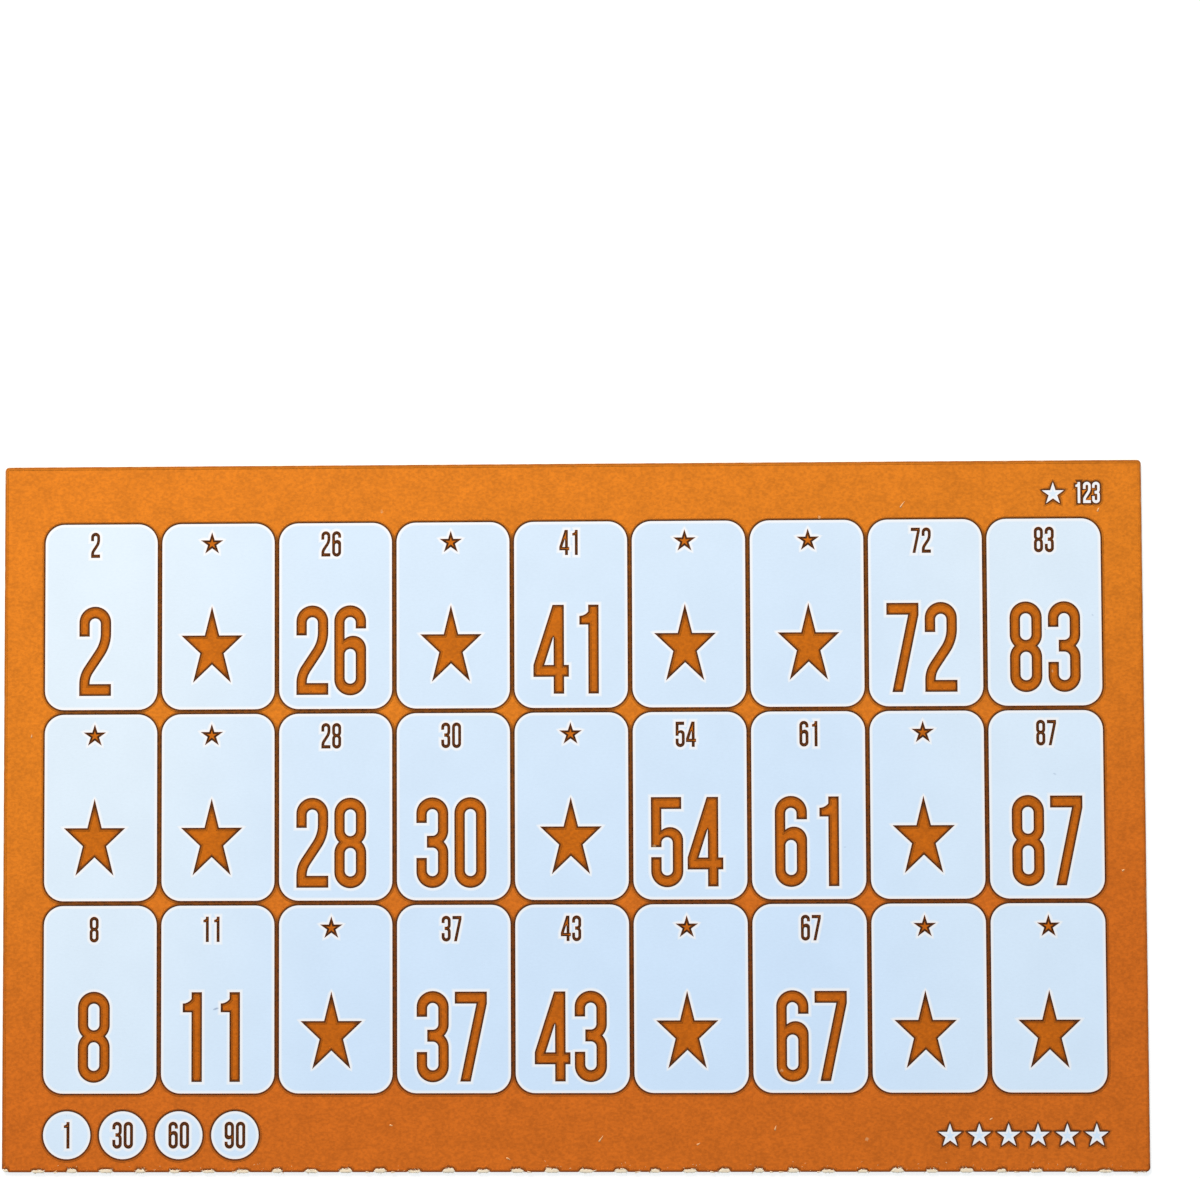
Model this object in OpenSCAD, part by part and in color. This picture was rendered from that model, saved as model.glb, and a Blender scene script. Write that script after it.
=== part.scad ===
// Bingo card: one ticket of a 90-ball game, torn off a perforated strip.
// Three plies of board carry an ink film: a ground with a window for every cell,
// and in each window a small figure at the top and a large one at the bottom.
// Millimetres. The back lies on z = 0, centred on the origin. The reader looks down -Z, with +Y
// towards the top edge and +X to the right. The torn edge faces -Y.

/* [Card] */
// Length along the cell rows
card_w = 130; // [115:0.5:160]
// Height from the tips of the torn ties to the top edge
card_h = 80.5; // [72:0.5:100]
// Radius of the cut corners
corner_r = 0.5; // [0.2:0.1:2]

/* [Board] */
// Thickness of the back liner
back_t = 0.08; // [0.05:0.01:0.2]
// Thickness of the pulp core
core_t = 0.26; // [0.1:0.02:0.6]
// Thickness of the white face
face_t = 0.08; // [0.05:0.01:0.2]
// Thickness of the ink film
ink_t = 0.02; // [0.01:0.005:0.05]

/* [Cells] */
// Margin beside the outer columns
side_margin = 4.7; // [3:0.1:8]
// Margin above the top row
top_margin = 6.65; // [5:0.05:12]
// Margin below the bottom row, to the tips of the ties
bottom_margin = 9; // [8:0.1:14]
// Ink line between two cells
cell_gap = 0.55; // [0.3:0.05:1.5]
// Corner radius of a cell
cell_r = 2.2; // [0.5:0.1:4]

/* [Large figures] */
// Height of a flat-topped digit
digit_h = 10.15; // [8:0.05:11]
// Width of a round digit
digit_w = 3.66; // [3:0.02:4.2]
// Distance between the middles of two neighbouring digits
digit_pitch = 4.34; // [4.3:0.02:5]
// Width of an upright stroke
stem_w = 1.2; // [0.8:0.05:1.4]
// Height of a level stroke
bar_h = 1.36; // [0.8:0.04:1.6]
// How far a round digit reaches past the flat ones, above and below
overshoot = 0.08; // [0:0.02:0.2]
// Height of the digits' foot above the bottom of a cell in the top row
digit_foot = 1.6; // [0.8:0.05:3]
// Width of a large star
star_w = 7.05; // [5:0.05:8]
// Height of a large star
star_h = 8.75; // [6:0.05:9]
// Height of a large star's feet above the foot of the digits
star_lift = 1.45; // [0.5:0.05:2.5]

/* [Small figures] */
// Height of a small digit
small_h = 2.88; // [2:0.02:3.4]
// Height of a small star
small_star_h = 2.45; // [1.5:0.05:3]
// Distance of a small digit's top below the top of a cell in the top row
small_drop = 0.94; // [0.5:0.02:2]
// Distance of a small star's top below the top of a cell in the top row
small_star_drop = 0.94; // [0.5:0.02:2]

/* [Registration] */
// How much lower in its cell each further row of figures lies
figure_drop = 0.15; // [0:0.01:0.2]

/* [Perforation] */
// Distance between two ties of the perforation
tie_pitch = 3.9; // [3:0.02:6]
// Distance of the first whole tie from the left edge
first_tie = 4.1; // [2:0.1:6]
// Width of a tie
tie_w = 1.2; // [0.6:0.05:1.6]
// How far a torn tie stands out of the knife cut
tie_stub = 0.12; // [0.05:0.01:0.3]
// How far the face tears back behind the knife cut
tear_d = 0.42; // [0.2:0.02:0.8]

/* [Margin marks] */
// Height of the index number
index_h = 2.4; // [1.5:0.1:3.5]
// Height of the index number's foot above the top row of cells
index_lift = 1.75; // [1:0.05:3]
// Diameter of a ball
ball_d = 5.4; // [4:0.1:6]
// Distance between two balls
ball_gap = 1; // [0.5:0.1:2]
// Height of a number inside a ball
ball_digit_h = 3; // [1.5:0.1:3.6]
// Height of a margin star
mark_star_h = 2.5; // [1.5:0.1:4]
// Distance between the middles of two margin stars
mark_star_pitch = 3.3; // [2.8:0.1:5]
// Height of the middle of the balls and margin stars above the tips of the ties
mark_level = 4.3; // [3.8:0.1:6]

/* [Hidden] */
// The ticket, row by row from the top: the number in each cell, or 0 for a star
TICKET = [
    [2, 0, 26, 0, 41, 0, 0, 72, 83],
    [0, 0, 28, 30, 0, 54, 61, 0, 87],
    [8, 11, 0, 37, 43, 0, 67, 0, 0]
];
// Sideways registration of the figures in each column
COLUMN_SHIFT = [-0.7, -0.73, -0.5, -0.25, -0.1, -0.45, 0.15, -0.45, 0.05];
// Digits of the index number, and the numbers on the balls
INDEX_NUMBER = [1, 2, 3];
BALL_NUMBERS = [1, 30, 60, 90];
// Number of margin stars
MARK_STARS = 6;
// Ratio of the inner to the outer radius of a five-pointed star drawn with five straight strokes
STAR_INNER = (3 - sqrt(5)) / 2;
// Width and height of such a star with an outer radius of one
STAR_SPAN = 2 * sin(72);
STAR_RISE = 1 + cos(36);
// Seeds of the torn ties' spread
WIDTH_SEED = 11;
DEPTH_SEED = 23;
RAG_SEED = 37;
// Least and greatest share of its full width and depth that a tear has
TIE_BREADTH = [0.75, 1.2];
TIE_DEPTH = [0.6, 1.15];
// Points along the ragged rim of a tear, their spread, and how steeply the rim rises from both ends
TEAR_POINTS = 9;
RAG = [0.7, 1.1];
TEAR_RISE = 2.6;
// Width of a tear beside its tie's
TEAR_WIDER = 1.3;
// Width of a stub's tip beside its root, and length of the core's stubs beside the back's
STUB_TIP = 0.75;
CORE_STUB = 0.8;
// Overlap of cutting shapes past what they cut
PAST = 1;
$fn = 48;
// Steps along a gentle bend
ARC_STEPS = 10;

// Levels in a digit, as shares of its height
LOW_HOOK = 0.33;
TWO_HOOK = 0.67;
THREE_HOOK = 0.72;
SIX_HOOK = 0.745;
WAIST = 0.51;
// Half of the lap of an eight's two loops at its waist
LAP = 0.055;
BOWL_TOP = 0.665;
SIX_COUNTER_TOP = 0.515;
FIVE_COUNTER_TOP = 0.55;
FIVE_STEM_FOOT = 0.44;
FOUR_BAR = 0.19;
FLAG_FOOT = 0.775;
// Radius of a bowl's shoulder as a share of the digit's width
SHOULDER = 0.41;
// Size of the flag of a one as a share of its stem
FLAG = 0.84;
// Climb of a two's stroke as a share of the room between its bar and its hook, the share of that climb
// that its straight middle adds, and the share of the bending that its lower bend has
TWO_CLIMB = 0.83;
TWO_STRAIGHT = 0.39;
TWO_LOW_BEND = 0.41;
// How far a four's bar is longer than a round digit, how far it passes the stem, and how far
// the slanting side passes the stem at the top
FOUR_LONGER = 0.4;
FOUR_PASS = 0.55;
FOUR_TIP = 0.1;
// How far a seven's foot lies inside its left end, and how far a five's bar stops short of its bowl
SEVEN_FOOT = 0.6;
FIVE_SHORT = 0.2;

rows = len(TICKET);
columns = len(TICKET[0]);
cell_w = (card_w - 2 * side_margin - (columns - 1) * cell_gap) / columns;
cell_h = (card_h - top_margin - bottom_margin - (rows - 1) * cell_gap) / rows;

core_z = back_t;
face_z = core_z + core_t;
ink_z = face_z + face_t;

// Level of the balls and margin stars
mark_y = mark_level - card_h / 2;

// Edges of a round digit, and the level where the two loops of an eight meet
bottom = -overshoot;
top = digit_h + overshoot;
left = -digit_w / 2;
right = digit_w / 2;
waist = WAIST * digit_h;

// Line of the perforating knife
cut_y = tie_stub - card_h / 2;
// Half the width of the broadest tear
tear_reach = TEAR_WIDER * TIE_BREADTH[1] * tie_w / 2;
ties = floor((card_w - first_tie - corner_r - tear_reach) / tie_pitch) + 1;
// Spread of the tears, from the one that the left corner cuts off to the last
tie_breadth = rands(TIE_BREADTH[0], TIE_BREADTH[1], ties + 1, WIDTH_SEED);
tie_depth = rands(TIE_DEPTH[0], TIE_DEPTH[1], ties + 1, DEPTH_SEED);
tear_rag = rands(RAG[0], RAG[1], (ties + 1) * TEAR_POINTS, RAG_SEED);

function cell_x(c) = side_margin - card_w / 2 + cell_w / 2 + c * (cell_w + cell_gap);
function cell_y(r) = card_h / 2 - top_margin - cell_h - r * (cell_h + cell_gap);
function figure_x(c) = cell_x(c) + COLUMN_SHIFT[c];
function digits(n) = n < 10 ? [n] : [floor(n / 10), n % 10];
function cell_name(r, c) =
    TICKET[r][c] > 0 ? str("number_", TICKET[r][c]) : str("star_r", r + 1, "c", c + 1);
// Middle of tie i, where tie 0 lies at the left corner
function tie_x(i) = first_tie - card_w / 2 + (i - 1) * tie_pitch;
// Place of point j on the rim of a tear, from -1/2 to 1/2, and its height in tear i as a share of the depth:
// level in the middle and falling to both ends
function tear_place(j) = (j + 0.5) / TEAR_POINTS - 0.5;
function tear_rim(i, j) = min(1, TEAR_RISE * (1 - abs(2 * tear_place(j)))) * tear_rag[i * TEAR_POINTS + j];
// Points on a circle about m from angle a0 to a1
function arc(m, r, a0, a1) =
    [for (i = [0 : ARC_STEPS]) let (a = a0 + (a1 - a0) * i / ARC_STEPS) m + r * [cos(a), sin(a)]];

GRID = [for (r = [0 : rows - 1], c = [0 : columns - 1]) [r, c]];

// Flat shapes

// A rectangle centred on x = 0 and standing on y = 0, with round corners
module rounded_panel(w, h, r) {
    translate([-w / 2, r]) square([w, h - 2 * r]);
    translate([r - w / 2, 0]) square([w - 2 * r, h]);
    for (x = [r - w / 2, w / 2 - r], y = [r, h - r])
        translate([x, y]) circle(r);
}

// An upright loop from y0 to y1 with round ends
module loop(w, y0, y1) {
    translate([-w / 2, y0 + w / 2]) square([w, y1 - y0 - w]);
    for (y = [y0 + w / 2, y1 - w / 2])
        translate([0, y]) circle(w / 2);
}

// The ring that a stroke leaves around a loop
module ring(y0, y1) {
    difference() {
        loop(digit_w, y0, y1);
        counter(y0, y1);
    }
}

// The open middle of a loop
module counter(y0, y1) {
    loop(digit_w - 2 * stem_w, y0 + bar_h, y1 - bar_h);
}

module box(x0, x1, y0, y1) {
    translate([x0, y0]) square([x1 - x0, y1 - y0]);
}

// A bowl: round below, and above rounded tighter on the side away from the stem, with a round counter
module bowl(counter_top) {
    shoulder_r = SHOULDER * digit_w;
    shoulder_y = BOWL_TOP * digit_h - shoulder_r;
    difference() {
        union() {
            translate([0, bottom + right]) circle(right);
            box(left, right, bottom + right, shoulder_y);
            translate([right - shoulder_r, shoulder_y]) circle(shoulder_r);
            box(left, right - shoulder_r, shoulder_y, counter_top + bar_h / 2);
        }
        counter(bottom, counter_top + bar_h);
    }
}

// Digits, each centred on x = 0 and standing on y = 0

module zero() {
    ring(bottom, top);
}

module one() {
    flag_w = FLAG * stem_w;
    flag_y = FLAG_FOOT * digit_h;
    total = stem_w + flag_w;
    translate([-total / 2, 0]) {
        box(flag_w, total, 0, digit_h);
        difference() {
            box(0, total - stem_w / 2, flag_y, digit_h);
            translate([0, digit_h]) circle(digit_h - flag_y - flag_w);
        }
    }
}

module two() {
    // The stroke climbs upright from the foot, leans over to the right and comes upright under the hook
    hook_y = top - digit_w / 2;
    run = digit_w - stem_w;
    climb = TWO_CLIMB * (hook_y - bar_h);
    lean = 2 * atan(run / (climb * (1 + TWO_STRAIGHT)));
    bend_r = (climb * sin(lean) - run * cos(lean)) / (1 - cos(lean));
    low_r = TWO_LOW_BEND * bend_r;
    high_r = bend_r - low_r;
    low_m = [left + stem_w / 2 + low_r, bar_h];
    high_m = [right - stem_w / 2 - high_r, bar_h + climb];
    half = stem_w / 2;
    polygon(concat(
        [[left, 0], [right, 0], [right, bar_h]],
        arc(low_m, low_r - half, 180, 180 - lean),
        arc(high_m, high_r + half, -lean, 0),
        [[right, hook_y], [right - stem_w, hook_y]],
        arc(high_m, high_r - half, 0, -lean),
        arc(low_m, low_r + half, 180 - lean, 180)
    ));
    difference() {
        ring(bottom, top);
        box(left - PAST, 0, bottom - PAST, TWO_HOOK * digit_h);
        box(-stem_w / 2, right + PAST, bottom - PAST, (high_m[1] + hook_y) / 2);
    }
}

// The two loops of an eight, one upon the other
module two_loops() {
    lap = LAP * digit_h;
    difference() {
        union() {
            loop(digit_w, bottom, waist + lap);
            loop(digit_w, waist - lap, top);
        }
        counter(bottom, waist + bar_h / 2);
        counter(waist - bar_h / 2, top);
    }
}

module three() {
    difference() {
        two_loops();
        box(left - PAST, 0, LOW_HOOK * digit_h, THREE_HOOK * digit_h);
    }
    box(left + stem_w, stem_w / 2, waist - bar_h / 2, waist + bar_h / 2);
}

module four() {
    end = (digit_w + FOUR_LONGER) / 2;
    bar_y = FOUR_BAR * digit_h;
    bar_top = bar_y + bar_h;
    stem_x = end - FOUR_PASS - stem_w;
    tip_x = stem_x - FOUR_TIP;
    lean = (tip_x + end) / (digit_h - bar_top);
    inner_x = stem_w * sqrt(1 + lean * lean) - end;
    box(stem_x, stem_x + stem_w, 0, digit_h);
    difference() {
        polygon([[-end, bar_y], [end, bar_y], [end, bar_top], [stem_x, bar_top], [stem_x, digit_h],
            [tip_x, digit_h], [-end, bar_top]]);
        polygon([[inner_x, bar_top], [stem_x, bar_top], [stem_x, bar_top + (stem_x - inner_x) / lean]]);
    }
}

module five() {
    difference() {
        bowl(FIVE_COUNTER_TOP * digit_h);
        box(left - PAST, left + stem_w, LOW_HOOK * digit_h, FIVE_STEM_FOOT * digit_h);
    }
    box(left, left + stem_w, FIVE_STEM_FOOT * digit_h, digit_h);
    box(left, right - FIVE_SHORT, digit_h - bar_h, digit_h);
}

module six() {
    difference() {
        ring(bottom, top);
        box(left + stem_w, right + PAST, bottom - PAST, SIX_HOOK * digit_h);
    }
    bowl(SIX_COUNTER_TOP * digit_h);
}

module seven() {
    foot_x = left + SEVEN_FOOT;
    bar_y = digit_h - bar_h;
    polygon([[foot_x, 0], [foot_x + stem_w, 0], [right, bar_y], [right, digit_h],
        [left, digit_h], [left, bar_y], [right - stem_w, bar_y]]);
}

module eight() {
    two_loops();
}

module nine() {
    translate([0, digit_h]) rotate(180) six();
}

module digit(d) {
    if (d == 0) zero();
    if (d == 1) one();
    if (d == 2) two();
    if (d == 3) three();
    if (d == 4) four();
    if (d == 5) five();
    if (d == 6) six();
    if (d == 7) seven();
    if (d == 8) eight();
    if (d == 9) nine();
}

// A row of digits of height h, centred on x = 0 and standing on y = 0
module number(list, h) {
    count = len(list);
    scale(h / digit_h)
        for (i = [0 : count - 1])
            translate([(i - (count - 1) / 2) * digit_pitch, 0]) digit(list[i]);
}

// A five-pointed star in a box w wide and h high, centred on x = 0, with its feet on y = 0
module star(w, h) {
    rx = w / STAR_SPAN;
    ry = h / STAR_RISE;
    polygon([
        for (i = [0 : 9])
            let (r = i % 2 == 0 ? 1 : STAR_INNER, a = 90 + i * 36)
                [rx * r * cos(a), ry * (r * sin(a) + cos(36))]
    ]);
}

// A star as wide as a regular one of height h
module even_star(h) {
    star(h * STAR_SPAN / STAR_RISE, h);
}

// Places of the printed figures

module large_figure(r, c) {
    n = TICKET[r][c];
    translate([figure_x(c), cell_y(r) + digit_foot - r * figure_drop])
        if (n > 0) number(digits(n), digit_h);
        else translate([0, star_lift]) star(star_w, star_h);
}

module small_figure(r, c) {
    n = TICKET[r][c];
    translate([figure_x(c), cell_y(r) + cell_h - r * figure_drop])
        if (n > 0) translate([0, -small_drop - small_h]) number(digits(n), small_h);
        else translate([0, -small_star_drop - small_star_h]) even_star(small_star_h);
}

module cells() {
    for (g = GRID)
        translate([cell_x(g[1]), cell_y(g[0])]) rounded_panel(cell_w, cell_h, cell_r);
}

// Index number above the last column, right-aligned with the cells, after a star
module index() {
    k = index_h / digit_h;
    number_w = k * ((len(INDEX_NUMBER) - 1) * digit_pitch + digit_w);
    number_x = card_w / 2 - side_margin - number_w / 2;
    translate([number_x, card_h / 2 - top_margin + index_lift]) {
        number(INDEX_NUMBER, index_h);
        translate([-number_w / 2 - index_h, 0]) even_star(index_h);
    }
}

module ball_place(i) {
    translate([side_margin - card_w / 2 + ball_d / 2 + i * (ball_d + ball_gap), mark_y]) children();
}

module mark_stars() {
    for (i = [0 : MARK_STARS - 1])
        translate([card_w / 2 - side_margin - mark_star_h / 2 - i * mark_star_pitch, mark_y])
            translate([0, -mark_star_h / 2]) even_star(mark_star_h);
}

// Outline of the card above the knife cut
module trimmed_sheet() {
    translate([0, cut_y]) rounded_panel(card_w, card_h / 2 - cut_y, corner_r);
}

// Torn stubs of the whole ties, standing out of the knife cut by a share of their length
module stubs(share) {
    for (i = [1 : ties]) {
        half = tie_w * tie_breadth[i] / 2;
        tip = tie_stub * share;
        translate([tie_x(i), cut_y])
            polygon([[-half, corner_r], [-half, 0], [-STUB_TIP * half, -tip], [STUB_TIP * half, -tip],
                [half, 0], [half, corner_r]]);
    }
}

// Ragged bites that the torn ties leave in the face
module tears() {
    for (i = [0 : ties]) {
        w = TEAR_WIDER * tie_w * tie_breadth[i];
        d = tear_d * tie_depth[i];
        translate([tie_x(i), cut_y])
            polygon(concat(
                [[-w / 2, 0], [-w / 2, -PAST], [w / 2, -PAST], [w / 2, 0]],
                [for (j = [TEAR_POINTS - 1 : -1 : 0]) [w * tear_place(j), d * tear_rim(i, j)]]
            ));
    }
}

module printed_sheet() {
    difference() {
        trimmed_sheet();
        tears();
    }
}

// Pieces

module ink() {
    color("#cc6a20") translate([0, 0, ink_z]) linear_extrude(ink_t) children();
}

module back_ply() {
    color("#e9e6df") linear_extrude(back_t) {
        trimmed_sheet();
        stubs(1);
    }
}

module core_ply() {
    color("#efe2cc") translate([0, 0, core_z]) linear_extrude(core_t) {
        trimmed_sheet();
        stubs(CORE_STUB);
    }
}

module face_ply() {
    color("#e6effa") translate([0, 0, face_z]) linear_extrude(face_t) printed_sheet();
}

module ground_print() {
    ink() difference() {
        printed_sheet();
        cells();
        index();
        mark_stars();
        for (i = [0 : len(BALL_NUMBERS) - 1])
            ball_place(i) circle(ball_d / 2);
    }
}

module ball_numbers() {
    ink() for (i = [0 : len(BALL_NUMBERS) - 1])
        ball_place(i) translate([0, -ball_digit_h / 2]) number(digits(BALL_NUMBERS[i]), ball_digit_h);
}

back_ply();
core_ply();
face_ply();
ground_print();
ball_numbers();
for (g = GRID) {
    ink() large_figure(g[0], g[1]);
    ink() small_figure(g[0], g[1]);
}
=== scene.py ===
"""A bingo card torn off a perforated strip: three plies of board under an orange ink film.

The card lies face up on a pale table. Its back is at z = 0, its top edge faces +Y and its torn edge -Y.
Lengths below are millimetres; the frame is in metres, and MM turns one into the other.
"""

import math

import bpy
import numpy as np
from mathutils import Euler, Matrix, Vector


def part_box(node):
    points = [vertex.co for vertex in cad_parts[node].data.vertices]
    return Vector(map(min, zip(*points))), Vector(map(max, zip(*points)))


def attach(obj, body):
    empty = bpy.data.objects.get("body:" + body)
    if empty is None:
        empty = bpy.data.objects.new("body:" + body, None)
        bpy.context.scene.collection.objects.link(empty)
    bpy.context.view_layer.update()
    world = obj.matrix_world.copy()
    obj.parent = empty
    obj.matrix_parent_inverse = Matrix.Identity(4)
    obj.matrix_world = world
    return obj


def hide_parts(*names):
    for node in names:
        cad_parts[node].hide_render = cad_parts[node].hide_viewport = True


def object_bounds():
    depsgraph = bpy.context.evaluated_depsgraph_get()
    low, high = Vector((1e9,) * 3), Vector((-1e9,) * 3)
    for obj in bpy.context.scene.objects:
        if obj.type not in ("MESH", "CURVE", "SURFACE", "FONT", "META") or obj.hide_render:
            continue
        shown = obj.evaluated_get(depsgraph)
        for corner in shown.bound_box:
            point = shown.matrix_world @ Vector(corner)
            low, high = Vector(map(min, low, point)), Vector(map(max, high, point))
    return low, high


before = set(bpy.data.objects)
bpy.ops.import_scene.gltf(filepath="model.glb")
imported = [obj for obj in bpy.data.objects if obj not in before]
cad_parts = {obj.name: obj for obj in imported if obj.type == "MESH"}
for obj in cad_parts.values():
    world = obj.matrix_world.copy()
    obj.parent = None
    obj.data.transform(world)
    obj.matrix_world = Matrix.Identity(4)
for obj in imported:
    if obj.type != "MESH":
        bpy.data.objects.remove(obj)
cad_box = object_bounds()

MM = 0.001
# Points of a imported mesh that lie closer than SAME_POINT are one point, outlines closer than TOUCHING touch,
# and a point that nears an outline by less than CLOSING of its way never reaches it
SAME_POINT = 0.0002
TOUCHING = 0.002
CLOSING = 0.001
# Least divisor of a mitred step, which keeps it short at sharp points
LEAST_MITRE = 0.5

# Camera: the point of the card that it looks at, its distance, and its turns about X, Y and Z in degrees
LENS = 85
CAMERA_AIM = (3.335, 25.892)
CAMERA_DISTANCE = 323.9
CAMERA_TURN = (2.689, 1.488, -0.265)

# Longest stretch of an outline between two points
STRETCH = 0.3
# Ink: roundness of a film's lip, where the squeezed rim behind it begins and ends, the rim's height, the part
# of half a wave that it shows, and how long its build-up holds before it falls
LIP = 0.02
RIM_START = 0.012
RIM = 0.38
SQUEEZE = 0.004
RIM_WAVE = (0.06, 0.94)
RIM_STEPS = 7
RIM_HOLD = 1.2
# Half the width below which a printed line darkens right through, and how much finer the darkest ones are
FINE_LINE = 0.5
FINE_FADE = 0.26
# Share of the way to the middle of a line that a rim may take, and how deep a ribbon sits in what carries it
RIM_SHARE = 0.97
SUNK = 0.006
# Width that a ribbon keeps where two outlines meet
LEAST_ROOM = 0.002
# How strong the rim shows along the cut and torn edges, where its dark line also stands for painted shade of
# the edge, and the strip along them that holds no other outline
CUT_RIM_AND_SHADE = 0.45
TORN_RIM_AND_SHADE = 0.7
OUTER = 0.7
# Bare white line that the tint of the cells leaves beside the ink
BARE_LINE = 0.4
BARE_STEPS = 4
BARE_LIFT = 0.001
BARE_HOLD = 1.6

# Board: roundness of the cut edges
CUT_ROUND = 0.02

# Perforation: pitch of the ties, place of the first, and depth of the strip that the tears reach
TIE_PITCH = 3.9
FIRST_TIE = 4.1
TEAR_ZONE = 1.2
TORN_COLUMNS = 1800
# Broken pulp: how rough it is, how much of that goes upwards, the depth from which a place counts as fully
# broken, how far the pulp stands proud of the knife cut and how far it reaches into the board
RAGGED = 0.025
RAGGED_UP = 0.3
BROKEN_DEPTH = 0.15
PROUD = 0.003
ROOTED = 0.2
# Shape of a broken tie from the face to the tip of the liner: shares of the way out and of the way down. The
# pulled fibres stand a little above the face
TORN_OUT = (0, 0.03, 0.12, 0.3, 0.5, 0.7, 0.86, 0.96, 1)
TORN_DOWN = (0, -0.12, -0.17, -0.18, -0.18, -0.16, -0.1, 0.3, 1)

# Fibres at each tie: their number, how far to both sides they spread, the share that is laid back over the
# print, and the least and greatest length and radius
TIE_FIBRES = 22
TIE_SPREAD = 0.72
LAID_BACK = 0.4
LAID_LENGTH = (0.12, 0.22)
OUT_LENGTH = (0.12, 0.32)
FIBRE_RADIUS = (0.018, 0.042)
# Fibres that lie on the ink: their level above it, how flat they are pressed and how far they bend
LIE = 0.01
PRESSED = 0.3
FIBRE_BEND = 0.12
# Fibres pulled through the ink: x, y, turn in degrees and length; and their radius
PULLED_RADIUS = (0.09, 0.15)
PULLED_FIBRES = (
    (3.2, -36.4, 48, 0.85),
    (14.2, -37.0, 20, 0.4),
    (22.9, -35.2, 70, 0.5),
    (-7.3, -38.6, -15, 0.5),
    (60.1, 34.6, 65, 0.5),
    (37.8, 35.3, 60, 0.75),
    (-20.6, -34.9, -30, 0.4),
    (47.2, -34.2, 35, 0.35),
    (-61.8, 9.4, 80, 0.4),
    (62.4, -6.3, 25, 0.35),
)
# Share of orange in fibres that went through the press
INKED = 0.85
# Crumbs of pulp that the tearing left on the ink above the perforation: number, how far from the torn face
# they begin and how far they spread, length and radius
CRUMBS = 90
CRUMB_NEAR = 0.15
CRUMB_FAR = 0.9
CRUMB_LENGTH = (0.08, 0.26)
CRUMB_RADIUS = (0.02, 0.05)
# Flakes of pulp along the knife cut: number, greatest turn in degrees, length, radius and share of orange
FLAKES = 22
FLAKE_TURN = 10
FLAKE_LENGTH = (0.3, 0.7)
FLAKE_RADIUS = (0.07, 0.12)
FLAKE_INKED = 0.15
# Distances from the middle of the card between which the tint of the cells pales
PALE_SIDES = (25 * MM, 52 * MM)
# Scuffs on the white: x, y, half length, half width, turn in degrees and strength
SCUFFS = (
    (-40.6, -21.7, 0.42, 0.16, -18, 0.8),
    (54.8, 4.6, 0.25, 0.12, 20, 0.4),
    (31.0, -3.6, 0.2, 0.1, 0, 0.35),
    (59.3, 22.6, 0.2, 0.12, 45, 0.35),
)

# Table: its side and level in metres, how far the camera sees it lifted, where it fades to white, and the
# greatest length of a ray from the card's underside to it
TABLE_SIZE = 4.0
TABLE_LEVEL = -0.05 * MM
TABLE_LIFT = 0.7
TABLE_FADE = (100 * MM, 260 * MM)
UNDER_CARD = 1 * MM
# Light: places in metres, and colours
WINDOW = (-0.132, 0.353, 0.35)
WINDOW_COLOUR = (1.0, 0.9, 0.8)
BELOW = (0.0, 0.0, -0.3)
BELOW_COLOUR = (1.0, 0.85, 0.7)
SKY_COLOUR = (0.62, 0.8, 1.0, 1.0)
SKY_STRENGTH = 0.56
WHITE = (1.0, 1.0, 1.0, 1.0)


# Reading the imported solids


def levels(node):
    """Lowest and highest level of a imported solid."""
    low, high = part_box(node)
    return low.z / MM, high.z / MM


def upper_face(node):
    """Points, triangles and outline edges of a solid's upper face.

    Points that coincide are merged. A triangle belongs to the face when its corners all have the solid's
    greatest height, and an edge belongs to the outline when no neighbouring triangle runs along it the other
    way.
    """
    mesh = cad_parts[node].data
    mesh.calc_loop_triangles()
    place = np.empty(3 * len(mesh.vertices), np.float32)
    corner = np.empty(3 * len(mesh.loop_triangles), np.int32)
    mesh.vertices.foreach_get("co", place)
    mesh.loop_triangles.foreach_get("vertices", corner)
    grid = np.round(place.reshape(-1, 3) / (SAME_POINT * MM)).astype(np.int64)
    grid, merged = np.unique(grid, axis=0, return_inverse=True)
    triangle = merged.ravel()[corner].reshape(-1, 3)
    triangle = triangle[(grid[triangle, 2] == grid[:, 2].max()).all(1)]
    used, triangle = np.unique(triangle, return_inverse=True)
    triangle = triangle.reshape(-1, 3)
    edge = triangle[:, [0, 1, 1, 2, 2, 0]].reshape(-1, 2)
    there = edge[:, 0] * len(used) + edge[:, 1]
    back = edge[:, 1] * len(used) + edge[:, 0]
    return grid[used, :2] * SAME_POINT, triangle, edge[~np.isin(there, back)]


def refined(point, edge):
    """The same outline with its edges cut into even stretches.

    An edge of length l becomes n = l / stretch pieces, rounded up; piece k runs from the share k / n to
    (k + 1) / n.
    """
    start, run = point[edge[:, 0]], point[edge[:, 1]] - point[edge[:, 0]]
    pieces = np.ceil(np.linalg.norm(run, axis=1) / STRETCH).astype(int)
    owner = np.repeat(np.arange(len(edge)), pieces)
    first = np.cumsum(pieces) - pieces
    share = (np.arange(pieces.sum()) - first[owner]) / pieces[owner]
    begins = np.full(len(point), -1)
    begins[edge[:, 0]] = first
    after = np.arange(1, pieces.sum() + 1)
    after[first + pieces - 1] = begins[edge[:, 1]]
    return start[owner] + share[:, None] * run[owner], np.stack([np.arange(len(after)), after], 1)


def normals(point, edge):
    """Unit direction and inward unit normal of each outline edge, with its length."""
    run = point[edge[:, 1]] - point[edge[:, 0]]
    length = np.linalg.norm(run, axis=1, keepdims=True)
    run = run / length
    return run, np.stack([-run[:, 1], run[:, 0]], 1), length[:, 0]


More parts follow.
